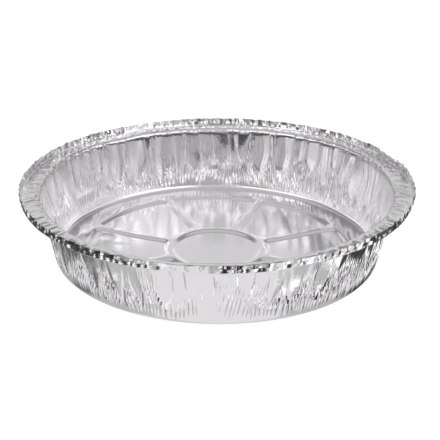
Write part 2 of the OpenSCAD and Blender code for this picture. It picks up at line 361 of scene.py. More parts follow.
@dataclass
class GatheredWall:
    """The wall: smooth petals with V-shaped tips, and fans of narrow ridges between them.

    All sizes are in millimetres. The wall's height runs from 0 at its foot to 1 at its top.

    Attributes:
        mean_r: Radius at which lengths round the wall are measured.
        spacing_min: Least room of a petal as a share of the mean, and spacing_max the most.
        tip_min: Height of the lowest petal's tip, and tip_max of the highest.
        bulge_min: Least bulge of a petal as a share of its depth, and bulge_max the most.
        hollow: Bulge of every third petal or so, which is hollow instead.
        petal_depth: Bulge of a petal as a share of its width.
        petal_narrow: Smallest width of a petal as a share of its room.
        petal_widens: Part of a petal's height over which it widens from its tip.
        petal_top: Share of its bulge that a petal keeps at the wall's top.
        ridge_depth: Depth of a ridge as a share of its width.
        ridge_round: How rounded a ridge is, from 0 for a sharp one to 1.
        ridge_uneven: How unevenly the ridges share their gap.
        fine_share: Depth of the half-width ridges as a share of the others, beside which they
            lie shifted by fine_aside.
        edge_depth: Depth of the crease along a petal's edge, which is edge_w wide.
        pleat_depth: Depth of the broad fold above the ridges.
        dent_depth: Depth of the broad dents.
        blade_h: Height that shading gives the longest flat face of a ridge.
        blade_w: Width of such a face as a share of its ridge, and blade_flat_w of its flat part.
        wander: How far the folds wander sideways.
        slants: Where the folds slant, by the shift of their tops round the wall.
        sharp: Where shading deepens the folds more, or less.
        calm: Where the upper part of the wall is smooth.
    """

    mean_r: float = 100.0
    petals: int = 44
    spacing_min: float = 0.6
    spacing_max: float = 1.4
    tip_min: float = 0.1
    tip_max: float = 0.5
    bulge_min: float = 0.3
    bulge_max: float = 1.2
    hollow: float = -0.6
    petal_depth: float = 0.055
    petal_narrow: float = 0.5
    petal_wide: float = 0.95
    petal_widens: float = 0.45
    petals_flatten: Rise = Rise(start=0.7, full=1.0)
    petal_top: float = 0.5
    rib_depth: float = 0.08
    ribs: int = 3
    ridge_pitch: float = 2.4
    ridge_spread: float = 0.8
    ridge_vary: float = 0.5
    ridge_depth: float = 0.24
    ridge_round: float = 0.4
    ridge_uneven: float = 0.3
    ridge_start: float = 0.02
    ridge_start_spread: float = 0.07
    ridge_stop: float = 0.55
    ridge_stop_spread: float = 0.3
    ridges_grow: Rise = Rise(start=0.0, full=0.22)
    ridges_last: Rise = Rise(start=0.3, full=0.0)
    fine_share: float = 0.3
    fine_aside: float = 0.3
    fine_last: Rise = Rise(start=0.55, full=0.2)
    edge_depth: float = 0.15
    edge_w: float = 0.8
    edges_grow: Rise = Rise(start=0.0, full=1.5)
    pleat_w: float = 2.2
    pleat_depth: float = 0.4
    pleats_grow: Rise = Rise(start=0.45, full=0.85)
    dent_depth: float = 0.45
    streak_depth: float = 0.015
    streaks_grow: Rise = Rise(start=0.03, full=0.15)
    blade_h: float = 1.5
    blade_min: float = 0.22
    blade_max: float = 0.62
    blade_start: float = 0.07
    blade_start_spread: float = 0.07
    side_blades_shorter: float = 0.45
    blade_w: float = 0.8
    blade_flat_w: float = 0.35
    blades_vary: Rise = Rise(start=-0.6, full=0.8)
    wander: float = 1.6
    fine_wander: float = 0.12
    folds_grow: Rise = Rise(start=0.0, full=0.08)
    calm_grows: Rise = Rise(start=0.4, full=0.8)
    sharp_lasts: Rise = Rise(start=0.75, full=0.4)
    least_w: float = 0.05
    seed: int = 11
    sharp: tuple[Stretch, ...] = (
        Stretch(angle=-130, spread=20, amount=0.9),
        Stretch(angle=-50, spread=26, amount=1.9),
        Stretch(angle=-90, spread=17, amount=-0.8),
        Stretch(angle=85, spread=50, amount=0.3),
    )
    slants: tuple[Stretch, ...] = (
        Stretch(angle=-128, spread=22, amount=-5.0),
        Stretch(angle=-48, spread=24, amount=5.5),
    )
    calm: tuple[Stretch, ...] = (
        Stretch(angle=-130, spread=26, amount=0.8),
        Stretch(angle=-50, spread=26, amount=0.65),
    )
    centres: np.ndarray = field(init=False, repr=False)
    gaps: np.ndarray = field(init=False, repr=False)
    tips: np.ndarray = field(init=False, repr=False)
    widths: np.ndarray = field(init=False, repr=False)
    ridges: np.ndarray = field(init=False, repr=False)
    bulges: np.ndarray = field(init=False, repr=False)
    pleats: np.ndarray = field(init=False, repr=False)
    blades: np.ndarray = field(init=False, repr=False)

    def __post_init__(self) -> None:
        """Draws the places and sizes of the petals, and of the ridges and pleats between them."""
        rng = np.random.default_rng(self.seed)
        steps = rng.uniform(self.spacing_min, self.spacing_max, self.petals)
        steps *= self.girth / steps.sum()
        self.centres = np.cumsum(steps) - steps[0]
        self.gaps = np.roll(steps, -1)
        self.tips = rng.uniform(self.tip_min, self.tip_max, self.petals)
        self.widths = rng.uniform(self.petal_narrow, self.petal_wide, self.petals)
        spread = rng.uniform(-self.ridge_spread, self.ridge_spread, self.petals)
        self.ridges = np.maximum(2, np.round(self.gaps / self.ridge_pitch + spread))
        self.bulges = rng.uniform(self.bulge_min, self.bulge_max, self.petals)
        self.bulges *= rng.choice([1, 1, self.hollow], self.petals)
        self.pleats = rng.uniform(-1, 1, self.petals)
        self.blades = rng.uniform(self.blade_min, self.blade_max, self.petals)

    @property
    def girth(self) -> float:
        """Length of the wall round the pan."""
        return FULL_TURN * self.mean_r

    def half_width(self, petal: np.ndarray, v: np.ndarray) -> np.ndarray:
        """Half the width of a petal: nothing below its tip, and smoothly wider above it.

        Args:
            petal: Number of the petal.
            v: Height on the wall, from 0 to 1.

        Returns:
            Half its width in millimetres.
        """
        room = ((self.gaps[petal] + self.gaps[petal - 1]) / 4 - self.pleat_w / 2) * self.widths[petal]
        rise = np.clip((v - self.tips[petal]) / (1 - self.tips[petal]), 0, 1)
        return room * np.sin(np.pi / 2 * np.clip(rise / self.petal_widens, 0, 1))

    def push(self, turn: np.ndarray, v: np.ndarray) -> tuple[np.ndarray, np.ndarray]:
        """How far each point of the wall is pushed outwards by petals, ridges and dents.

        Args:
            turn: Place round the pan, 1 for a full turn.
            v: Height on the wall, from 0 to 1.

        Returns:
            Outward pushes in millimetres, and the height that shading adds to the folds.
        """
        broad = RoundNoise(cells=60, rows=3, seed=21).at(turn, v)
        close = RoundNoise(cells=170, rows=5, seed=22).at(turn, v)
        slant = together(self.slants, turn) * v
        aside = self.wander * (broad + self.fine_wander * close)
        x = np.mod(turn * self.girth + aside - slant, self.girth)
        left = np.searchsorted(self.centres, x, side="right") - 1
        right = (left + 1) % self.petals
        from_left = x - self.centres[left]
        span = self.gaps[left]
        left_half = self.half_width(left, v)
        right_half = self.half_width(right, v)
        gap = np.maximum(span - left_half - right_half, self.least_w)
        across = (from_left - left_half) / gap
        ridges = self.ridge_wave(left, across, gap, v, turn)
        blades = np.where((across > 0) & (across < 1), self.blade_wave(left, across, v, turn), 0)
        on_left = from_left / np.maximum(left_half, self.least_w)
        on_right = (span - from_left) / np.maximum(right_half, self.least_w)
        petal_left = self.petal_wave(left, on_left, left_half, v)
        petal_right = self.petal_wave(right, on_right, right_half, v)
        folds = np.where(across < 0, petal_left, np.where(across > 1, petal_right, ridges))
        kept = 1 - together(self.calm, turn) * self.calm_grows.at(v)
        folds *= kept
        dents = RoundNoise(cells=34, rows=3, seed=31).at(turn, v)
        streaks = RoundNoise(cells=330, rows=3, seed=32).at(turn, v)
        low = self.folds_grow.at(v)
        soft = self.dent_depth * dents * low * kept
        soft += self.streak_depth * streaks * self.streaks_grow.at(v)
        sharper = 1 + together(self.sharp, turn) * self.sharp_lasts.at(v)
        return folds * low + soft, (folds + blades) * low * sharper

    def petal_wave(self, petal: np.ndarray, across: np.ndarray, half: np.ndarray,
                   v: np.ndarray) -> np.ndarray:
        """Outward bulge of a petal, with soft ribs that meet at its tip.

        Args:
            petal: Number of the petal.
            across: Distance from the petal's middle, 1 at its edge.
            half: Half its width there, in millimetres.
            v: Height on the wall, from 0 to 1.

        Returns:
            The outward push in millimetres.
        """
        across = np.clip(np.abs(across), 0, 1)
        depth = self.petal_depth * 2 * half * self.bulges[petal]
        ribs = self.rib_depth * np.cos(across * np.pi * self.ribs) * (1 - across)
        flattened = mix(1, self.petal_top, self.petals_flatten.at(v))
        bulge = depth * (1 - across ** 2 + ribs) * flattened
        edge = self.edge_depth * np.exp(-((1 - across) * half / self.edge_w) ** 2)
        return bulge - edge * self.edges_grow.at(half)

    def ridge_place(self, gap_no: np.ndarray, across: np.ndarray, turn: np.ndarray) -> np.ndarray:
        """Place of a point among the ridges of its gap, whole in the valleys between them."""
        uneven = RoundNoise(cells=230, rows=1, seed=42).along(turn)
        return self.ridges[gap_no] * across + self.ridge_uneven * uneven * np.sin(np.pi * across)

    def blade_wave(self, gap_no: np.ndarray, across: np.ndarray, v: np.ndarray,
                   turn: np.ndarray) -> np.ndarray:
        """Height that shading gives the long flat faces of the ridges, pointed at both ends.

        Args:
            gap_no: Number of the gap between two petals.
            across: Place across the gap, from 0 to 1.
            v: Height on the wall, from 0 to 1.
            turn: Place round the pan, 1 for a full turn.

        Returns:
            The height in millimetres.
        """
        size = RoundNoise(cells=210, rows=1, seed=45).along(turn)
        start = self.blade_start + self.blade_start_spread * RoundNoise(180, 1, seed=46).along(turn)
        length = self.blades[gap_no] * (1 - self.side_blades_shorter * np.abs(2 * across - 1))
        rise = (v - start) / length
        peak = 1 - np.abs(2 * np.mod(self.ridge_place(gap_no, across, turn), 1) - 1)
        width = np.sqrt(np.clip(4 * rise * (1 - rise), 0, 1))
        blade = fade(1 - self.blade_w * width, 1.05 - self.blade_flat_w * width, peak)
        height = self.blade_h * length / self.blade_max * self.blades_vary.at(size)
        return height * np.clip(rise, 0, 1) * blade * (rise < 1)

    def ridge_wave(self, gap_no: np.ndarray, across: np.ndarray, gap: np.ndarray, v: np.ndarray,
                   turn: np.ndarray) -> np.ndarray:
        """Outward push of the ridges that run together up the gap between two petals.

        Args:
            gap_no: Number of the gap.
            across: Place across the gap, 0 and 1 at its edges.
            gap: Width of the gap there, in millimetres.
            v: Height on the wall, from 0 to 1.
            turn: Place round the pan, 1 for a full turn.

        Returns:
            The outward push in millimetres.
        """
        across = np.clip(across, 0, 1)
        count = self.ridges[gap_no]
        start = self.ridge_start + self.ridge_start_spread * RoundNoise(260, 1, seed=43).along(turn)
        stop = self.ridge_stop + self.ridge_stop_spread * RoundNoise(150, 1, seed=44).along(turn)
        size = RoundNoise(cells=140, rows=3, seed=41).at(turn, v)
        place = self.ridge_place(gap_no, across, turn)
        depth = self.ridge_depth * gap / count * (1 + self.ridge_vary * size)
        coarse = 1 - np.abs(2 * np.mod(place, 1) - 1)
        fine = 1 - np.abs(2 * np.mod(2 * place + self.fine_aside, 1) - 1)
        wave = depth * (fade(0, 1, coarse) * self.ridge_round + coarse * (1 - self.ridge_round))
        halved = depth * self.fine_share * (fine - 0.5) * self.fine_last.at(v)
        wave += halved * np.sin(np.pi * across) ** 0.5
        pleat = self.pleat_depth * self.pleats[gap_no] * np.sin(np.pi * across) ** 2
        grown = self.ridges_grow.at(v - start) * self.ridges_last.at(v - stop)
        return wave * grown + pleat * self.pleats_grow.at(v)


@dataclass
class CrimpedRim:
    """The flange, which slopes down a little, and the crimped hem round it, in millimetres.

    Attributes:
        crimp_top: How far the crimps stand out at the hem's top, or crimp_foot and crimp_mid lower.
        crimp_min: Length of the shortest crimp, and crimp_max of the longest.
        crimps_drawn: Number of crimps drawn, of which those that go once round are used.
        crimped_r: Radius at which their lengths are measured.
        crimp_least: Height of the flattest crimp as a share of the highest, before crimp_uneven
            shifts each one in or out.
        lift: Rise of the rim at its right and drop at its left.
        sag: Rise of the rim at both sides and drop at its front and back.
        lean_about: Part of the hem's height that stays where it is when the hem leans.
        leans: Where the hem leans further out or in, by the shift over its height.
        crinkled: Where the fine crinkles are stronger.
    """

    flange_w: float = 11.2
    flange_drop: float = 1.3
    shoulder_r: float = 2.0
    ripple_h: float = 0.3
    broad_ripples: float = 0.8
    broad_fades: float = 0.4
    close_ripples: float = 0.5
    hem_h: float = 4.7
    hem_bend: float = 0.8
    hem_lean: float = 4.0
    crimp_top: float = 0.8
    crimp_mid: float = 0.4
    crimp_foot: float = 0.15
    crimp_min: float = 1.2
    crimp_max: float = 5.0
    crimps_drawn: int = 400
    crimp_least: float = 0.1
    crimp_uneven: float = 0.3
    crimped_r: float = 114.0
    edge_wave_h: float = 0.22
    lean_about: float = 0.6
    lift: float = 1.3
    sag: float = 0.6
    dent_depth: float = 1.6
    dent_angle: float = 21.0
    dent_spread: float = 5.0
    seed: int = 7
    leans: tuple[Stretch, ...] = (
        Stretch(angle=-132, spread=25, amount=-1.1),
        Stretch(angle=-99, spread=7, amount=0.7),
        Stretch(angle=-83, spread=9, amount=-0.8),
        Stretch(angle=-62, spread=12, amount=0.15),
        Stretch(angle=-38, spread=12, amount=-0.7),
        Stretch(angle=52, spread=11, amount=0.6),
        Stretch(angle=82, spread=15, amount=0.6),
        Stretch(angle=115, spread=7, amount=-0.5),
        Stretch(angle=130, spread=9, amount=0.6),
    )
    crinkle_h: float = 0.1
    crinkle_least: float = 0.4
    hem_crinkle: float = 2.5
    crinkled: tuple[Stretch, ...] = (
        Stretch(angle=-25, spread=22, amount=0.8),
        Stretch(angle=-155, spread=22, amount=0.8),
        Stretch(angle=46, spread=20, amount=1.2),
        Stretch(angle=136, spread=20, amount=1.2),
    )

    def crinkle(self, turn: np.ndarray, part: np.ndarray, seed: int) -> np.ndarray:
        """Height of the fine crinkles at a place, stronger in the crinkled stretches."""
        strength = self.crinkle_least + together(self.crinkled, turn)
        return self.crinkle_h * strength * RoundNoise(cells=560, rows=3, seed=seed).at(turn, part)

    def warp(self, angle: np.ndarray) -> np.ndarray:
        """Rise of the bent rim in a direction, in millimetres."""
        return self.lift * np.cos(angle) + self.sag * np.cos(2 * angle)

    def dent(self, angle: np.ndarray) -> np.ndarray:
        """Depth of the dent on the right, towards the back, in a direction."""
        off = np.degrees(np.mod(angle - math.radians(self.dent_angle) + np.pi, FULL_TURN) - np.pi)
        return self.dent_depth * np.exp(-(off / self.dent_spread) ** 2)

    def zigzag(self, turn: np.ndarray, seed: int, slide: float) -> np.ndarray:
        """Straight crimps of uneven length and height.

        Args:
            turn: Place round the pan, 1 for a full turn.
            seed: Seed of the crimps' heights.
            slide: Largest shift of a crease along the rim, in millimetres.

        Returns:
            Height of the crimps at each place, from about -1 to 1.
        """
        girth = FULL_TURN * self.crimped_r
        rng = np.random.default_rng(self.seed)
        creases = np.cumsum(rng.uniform(self.crimp_min, self.crimp_max, self.crimps_drawn))
        creases = creases[creases < girth - self.crimp_min]
        rng = np.random.default_rng(seed)
        creases = creases + slide * rng.uniform(-1, 1, len(creases))
        sign = np.where(np.arange(len(creases)) % 2 == 0, 1, -1)
        height = sign * rng.uniform(self.crimp_least, 1, len(creases))
        height += self.crimp_uneven * rng.uniform(-1, 1, len(creases))
        return np.interp(turn * girth, creases, height, period=girth)

    def hem_shift(self, turn: np.ndarray, part: np.ndarray) -> tuple[np.ndarray, np.ndarray]:
        """Outward and upward shift of the hem's points, by flat crimps in two tiers.

        Args:
            turn: Place round the pan, 1 for a full turn.
            part: Height on the hem, from 0 to 1.

        Returns:
            Outward and upward shifts in millimetres.
        """
        foot = self.crimp_foot * self.zigzag(turn, seed=51, slide=0.1)
        top = self.crimp_top * self.zigzag(turn, seed=54, slide=0.5)
        middle = self.crimp_mid * self.zigzag(turn, seed=52, slide=0.3)
        lean = together(self.leans, turn)
        out = foot * (1 - part) + top * part + lean * (part - self.lean_about)
        out += middle * np.clip(1 - np.abs(2 * part - 1), 0, 1)
        out += self.hem_crinkle * self.crinkle(turn, part, seed=56) * np.clip(2 * part, 0, 1)
        edge = RoundNoise(cells=200, rows=1, seed=55).along(turn)
        return out, self.edge_wave_h * edge * part

    def flange_shift(self, turn: np.ndarray, part: np.ndarray) -> np.ndarray:
        """Upward shift of the flange's points, by ripples across it and fine crinkles.

        Args:
            turn: Place round the pan, 1 for a full turn.
            part: Place across the flange, from 0 at its inner edge to 1.

        Returns:
            The shift in millimetres.
        """
        broad = RoundNoise(cells=52, rows=1, seed=61).at(turn, part)
        close = RoundNoise(cells=260, rows=1, seed=62).at(turn, part * 0.5)
        broad = self.broad_ripples * broad * (1 - self.broad_fades * part)
        ripples = self.ripple_h * (broad + self.close_ripples * close)
        return ripples + self.crinkle(turn, part, seed=63)


class Section(Enum):
    """The stretches of the pan's profile outside the base."""

    CORNER = "corner"
    WALL = "wall"
    SHOULDER = "shoulder"
    FLANGE = "flange"
    BEND = "bend"
    HEM = "hem"


@dataclass
class ProfilePoint:
    """A point of the pan's profile: radius, height, its section and its part of it."""

    r: float
    z: float
    section: Section
    part: float


@dataclass
class NodeMaths:
    """Adds small nodes to a node tree and links them up."""

    nodes: bpy.types.Nodes
    links: bpy.types.NodeLinks

    def feed(self, socket: bpy.types.NodeSocket, value: bpy.types.NodeSocket | float) -> None:
        """Links a socket to an input, or sets a plain value on it.

        Args:
            socket: The input.
            value: The socket or the plain value.
        """
        if isinstance(value, bpy.types.NodeSocket):
            self.links.new(value, socket)
        else:
            socket.default_value = value

    def node(self, operation: str, *values: bpy.types.NodeSocket | float) -> bpy.types.NodeSocket:
        """Adds a Math node.

        Args:
            operation: Its operation.
            values: Sockets or numbers for its inputs, in order.

        Returns:
            The node's output.
        """
        made = self.nodes.new("ShaderNodeMath")
        made.operation = operation
        for socket, value in zip(made.inputs, values):
            self.feed(socket, value)
        return made.outputs[0]

    def vector(self, operation: str, *values: bpy.types.NodeSocket | tuple) -> bpy.types.NodeSocket:
        """Adds a Vector Math node.

        Args:
            operation: Its operation.
            values: Sockets or vectors for its inputs, in order.

        Returns:
            The node's output, a number for LENGTH and DOT_PRODUCT.
        """
        made = self.nodes.new("ShaderNodeVectorMath")
        made.operation = operation
        for socket, value in zip(made.inputs, values):
            self.feed(socket, value)
        return made.outputs["Value" if operation in ("LENGTH", "DOT_PRODUCT") else "Vector"]

    def noise(self, place: bpy.types.NodeSocket, scale: float, detail: float) -> bpy.types.NodeSocket:
        """Adds a noise texture.

        Args:
            place: Place that it is looked up at.
            scale: Its cells to the metre.
            detail: How many finer layers it has.

        Returns:
            Its heights, from 0 to 1.
        """
        made = self.nodes.new("ShaderNodeTexNoise")
        made.inputs["Scale"].default_value = scale
        made.inputs["Detail"].default_value = detail
        self.links.new(place, made.inputs["Vector"])
        return made.outputs["Fac"]

    def ramp(self, value: bpy.types.NodeSocket, low: float, high: float, start: float = 0.0,
             end: float = 1.0) -> bpy.types.NodeSocket:
        """Adds a smooth change from one value to another.

        Args:
            value: What it depends on.
            low: The value at which it starts. It may be above high.
            high: The value at which it ends.
            start: Result at low.
            end: Result at high.

        Returns:
            The result.
        """
        made = self.nodes.new("ShaderNodeMapRange")
        made.interpolation_type = "SMOOTHSTEP"
        self.feed(made.inputs["Value"], value)
        if low > high:
            low, high, start, end = high, low, end, start
        made.inputs["From Min"].default_value = low
        made.inputs["From Max"].default_value = high
        made.inputs["To Min"].default_value = start
        made.inputs["To Max"].default_value = end
        return made.outputs["Result"]


@dataclass(frozen=True)
class FoilFinish:
    """Bright household foil: a mirror that is broken up by small creases.

    Attributes:
        shine: Roughness where it is brightest, and dull where it is dullest.
        crease_h: Height of the small creases, in metres.
        fold_share: How much of the wall's shaded folds is used.
    """

    name: str = "bright_foil"
    tint: tuple[float, float, float] = (0.905, 0.89, 0.905)
    shine: float = 0.09
    dull: float = 0.2
    crease_h: float = 0.00007
    fold_share: float = 0.8

    def material(self, creases: bpy.types.NodeTree) -> bpy.types.Material:
        """Builds the material.

        Args:
            creases: Node group that puts out the height of folds and creases and a dull mask.

        Returns:
            The foil's material.
        """
        made = bpy.data.materials.new(self.name)
        made.use_nodes = True
        nodes = made.node_tree.nodes
        links = made.node_tree.links
        shader = nodes["Principled BSDF"]
        shader.inputs["Base Color"].default_value = (*self.tint, 1)
        shader.inputs["Metallic"].default_value = 1
        place = nodes.new("ShaderNodeTexCoord")
        skin = nodes.new("ShaderNodeNewGeometry")
        folds = nodes.new("ShaderNodeAttribute")
        folds.attribute_name = FOLD_LAYER
        pattern = nodes.new("ShaderNodeGroup")
        pattern.node_tree = creases
        pattern.inputs["Crease"].default_value = self.crease_h
        pattern.inputs["Share"].default_value = self.fold_share * MM
        links.new(place.outputs["Object"], pattern.inputs["Place"])
        links.new(skin.outputs["Normal"], pattern.inputs["Normal"])
        links.new(folds.outputs["Fac"], pattern.inputs["Fold"])
        rough = nodes.new("ShaderNodeMapRange")
        rough.inputs["To Min"].default_value = self.shine
        rough.inputs["To Max"].default_value = self.dull
        links.new(pattern.outputs["Dull"], rough.inputs["Value"])
        links.new(rough.outputs["Result"], shader.inputs["Roughness"])
        bump = nodes.new("ShaderNodeBump")
        bump.inputs["Distance"].default_value = 1
        links.new(pattern.outputs["Height"], bump.inputs["Height"])
        links.new(bump.outputs["Normal"], shader.inputs["Normal"])
        return made


@dataclass(frozen=True)
class FoilCreases:
    """Small creases all over the foil, and fine streaks that run up the wall.

    Attributes:
        base_r: Radius at which the base ends and wall_r the one at which the wall is full, in metres.
        on_base: Height of the creases on the base as a share of their height on the wall.
        crease_scale: Creases to the metre, and streak_scale and dull_scale for the streaks and
            the dull patches.
        streak_r: Radius that the streaks are looked up at, in metres.
        streak_rise: How fast a streak changes up the wall as a share of how it does round it.
        streak_share: Height of the streaks as a share of the creases.
    """

    base_r: float = 0.0925
    wall_r: float = 0.096
    on_base: float = 0.55
    crease_scale: float = 420.0
    streak_r: float = 0.1
    streak_rise: float = 0.14
    streak_scale: float = 900.0
    streak_share: float = 0.3
    dull_scale: float = 55.0

    def group(self) -> bpy.types.NodeTree:
        """Builds the node group.

        Returns:
            The group, which puts out the height of the creases and folds and a dull mask.
        """
        made = bpy.data.node_groups.new("foil_creases", "ShaderNodeTree")
        for name in ("Place", "Normal"):
            made.interface.new_socket(name, in_out="INPUT", socket_type="NodeSocketVector")
        for name in ("Fold", "Share", "Crease"):
            made.interface.new_socket(name, in_out="INPUT", socket_type="NodeSocketFloat")
        for name in ("Height", "Dull"):
            made.interface.new_socket(name, in_out="OUTPUT", socket_type="NodeSocketFloat")
        nodes = made.nodes
        links = made.links
        graph = NodeMaths(nodes, links)
        given = nodes.new("NodeGroupInput").outputs
        place = given["Place"]
        out = nodes.new("NodeGroupOutput")
        flat = graph.vector("MULTIPLY", place, (1, 1, 0))
        reach = graph.vector("LENGTH", flat)
        around = graph.vector("MULTIPLY", graph.vector("NORMALIZE", flat), (self.streak_r,) * 3)
        rise = graph.vector("MULTIPLY", place, (0, 0, self.streak_rise))
        streaks = graph.noise(graph.vector("ADD", around, rise), scale=self.streak_scale, detail=2)
        on_wall = graph.ramp(reach, self.base_r, self.wall_r)
        share = graph.ramp(reach, self.base_r, self.wall_r, start=self.on_base)
        creases = graph.node("MULTIPLY", graph.noise(place, scale=self.crease_scale, detail=3), share)
        up_wall = graph.node("MULTIPLY", streaks, on_wall)
        fine = graph.node("MULTIPLY_ADD", up_wall, self.streak_share, creases)
        folds = graph.node("MULTIPLY", given["Fold"], given["Share"])
        height = graph.node("MULTIPLY_ADD", fine, given["Crease"], folds)
        outside = graph.node("SIGN", graph.vector("DOT_PRODUCT", given["Normal"], flat))
        links.new(graph.node("MULTIPLY", height, outside), out.inputs["Height"])
        links.new(graph.noise(place, scale=self.dull_scale, detail=2), out.inputs["Dull"])
        return made


@dataclass
class PiePan:
    """The whole pan, one piece of foil, in millimetres until it is finished.

    Attributes:
        foot_r: Radius where the wall's line meets the base.
        corner_r: Radius of the rounded corner between base and wall.
        wall_lean: How far the wall leans out, in degrees.
        flange_z: Height of the flange's inner edge.
        columns: Columns of points round the wall and the rim.
        foil: Thickness of the foil.
        wall_bias: How much closer the wall's rows of points lie at its foot, 1 for evenly.
        half_box: Furthest that the rim reaches to each side, inside the solid's box.
        top_z: Highest that the hem reaches, inside the solid's box.
        wall_dent: Share of the rim's dent that the wall's top takes, and then flange_dent and
            hem_dent for the flange's outer edge and the hem's top.
        rim_push: Share of the wall's folds that runs on into the flange's inner edge.
        flange_curve: How late across the flange its slope comes, 1 for evenly.
        hem_steadies: Share of the flange's ripples that is gone at the hem's top.
        seam_margin: How far above the web the open edges may lie that join base and side.
        corner_rows: Rows of points on the corner, and so on for wall and flange.
        shoulder_parts: Places of the rows on the shoulder, and so on for bend and hem.
    """

    base: PressedBase = field(default_factory=PressedBase)
    wall: GatheredWall = field(default_factory=GatheredWall)
    rim: CrimpedRim = field(default_factory=CrimpedRim)
    finish: FoilFinish = field(default_factory=FoilFinish)
    foot_r: float = 96.9
    corner_r: float = 2.8
    wall_lean: float = 10.4
    flange_z: float = 42.5
    corner_rows: int = 4
    wall_rows: int = 15
    shoulder_parts: tuple[float, ...] = (0.33, 0.67)
    flange_rows: int = 3
    bend_part: float = 0.5
    hem_parts: tuple[float, ...] = (0.0, 0.25, 0.5, 1.0)
    columns: int = 1300
    foil: float = 0.08
    half_box: float = 116.2
    top_z: float = 47.78
    wall_bias: float = 1.12
    wall_dent: float = 0.5
    flange_dent: float = 0.9
    hem_dent: float = 1.2
    rim_push: float = 0.7
    flange_curve: float = 1.3
    hem_steadies: float = 0.5
    seam_margin: float = 0.5

    @property
    def flange_in_r(self) -> float:
        """Radius where the wall's line meets the flange."""
        return self.foot_r + (self.flange_z - self.base.web_h) * math.tan(math.radians(self.wall_lean))

    @property
    def flange_out_r(self) -> float:
        """Radius where the flange meets the hem."""
        return self.flange_in_r + self.rim.flange_w

    def profile(self) -> list[ProfilePoint]:
        """Works out the under skin's profile.

        Returns:
            Its points, from the corner's foot to the hem's top.
        """
        lean = math.radians(self.wall_lean)
        mid_r = self.foot_r + self.corner_r * (math.sin(lean) - 1) / math.cos(lean)
        points = []
        for part in np.linspace(0, 1, self.corner_rows + 1)[:-1]:
            turn = part * (math.pi / 2 - lean)
            points.append(ProfilePoint(mid_r + self.corner_r * math.sin(turn),
                                       self.base.web_h + self.corner_r * (1 - math.cos(turn)),
                                       Section.CORNER, part))
        rim = self.rim
        in_r = self.flange_in_r
        cut = rim.shoulder_r * math.tan((math.pi / 2 - lean) / 2)
        foot = (mid_r + self.corner_r * math.cos(lean),
                self.base.web_h + self.corner_r * (1 - math.sin(lean)))
        top = (in_r - cut * math.sin(lean), self.flange_z - cut * math.cos(lean))
        for k in range(self.wall_rows + 1):
            v = (k / self.wall_rows) ** self.wall_bias
            points.append(ProfilePoint(mix(foot[0], top[0], v), mix(foot[1], top[1], v),
                                       Section.WALL, v))
        centre = (in_r + cut, self.flange_z - rim.shoulder_r)
        for part in self.shoulder_parts:
            turn = mix(lean, math.pi / 2, part)
            points.append(ProfilePoint(centre[0] - rim.shoulder_r * math.cos(turn),
                                       centre[1] + rim.shoulder_r * math.sin(turn),
                                       Section.SHOULDER, part))
        out_r = self.flange_out_r
        for part in np.linspace(0, 1, self.flange_rows + 1):
            points.append(ProfilePoint(mix(in_r + cut, out_r - rim.hem_bend, part),
                                       self.flange_z - rim.flange_drop * part ** self.flange_curve,
                                       Section.FLANGE, part))
        hem_lean = math.radians(rim.hem_lean)
        hem_z = self.flange_z - rim.flange_drop
        turn = self.bend_part * (math.pi / 2 - hem_lean)
        points.append(ProfilePoint(out_r - rim.hem_bend + rim.hem_bend * math.sin(turn),
                                   hem_z + rim.hem_bend * (1 - math.cos(turn)),
                                   Section.BEND, self.bend_part))
        for part in self.hem_parts:
            up = mix(rim.hem_bend, rim.hem_h, part)
            points.append(ProfilePoint(out_r + up * math.tan(hem_lean), hem_z + up, Section.HEM, part))
        return points

    def build_side(self, mesh: bmesh.types.BMesh) -> None:
        """Rolls a strip of sheet into the wall and the rim, and folds it.

        Args:
            mesh: Mesh that holds the base alone and takes the wall and the rim.
        """
        base_verts = set(mesh.verts)
        profile = self.profile()
        bmesh.ops.create_grid(mesh, x_segments=self.columns, y_segments=len(profile) - 1, size=0.5)
        verts = [v for v in mesh.verts if v not in base_verts]
        co = np.array([v.co for v in verts]) + 0.5
        turn = np.mod(np.round(co[:, 0] * self.columns), self.columns) / self.columns
        row = np.round(co[:, 1] * (len(profile) - 1)).astype(int)
        r = np.array([p.r for p in profile])[row]
        z = np.array([p.z for p in profile])[row]
        part = np.array([p.part for p in profile])[row]
        sections = np.array([p.section.value for p in profile])[row]
        angle = turn * FULL_TURN
        r, z, folds = self.fold(turn, angle, part, sections, r, z)
        layer = mesh.verts.layers.float[FOLD_LAYER]
        for vert, rr, a, zz, fold_h in zip(verts, r, angle, z, folds):
            vert.co = (rr * math.cos(a), rr * math.sin(a), zz)
            vert[layer] = fold_h
        bmesh.ops.remove_doubles(mesh, verts=verts, dist=1e-5)

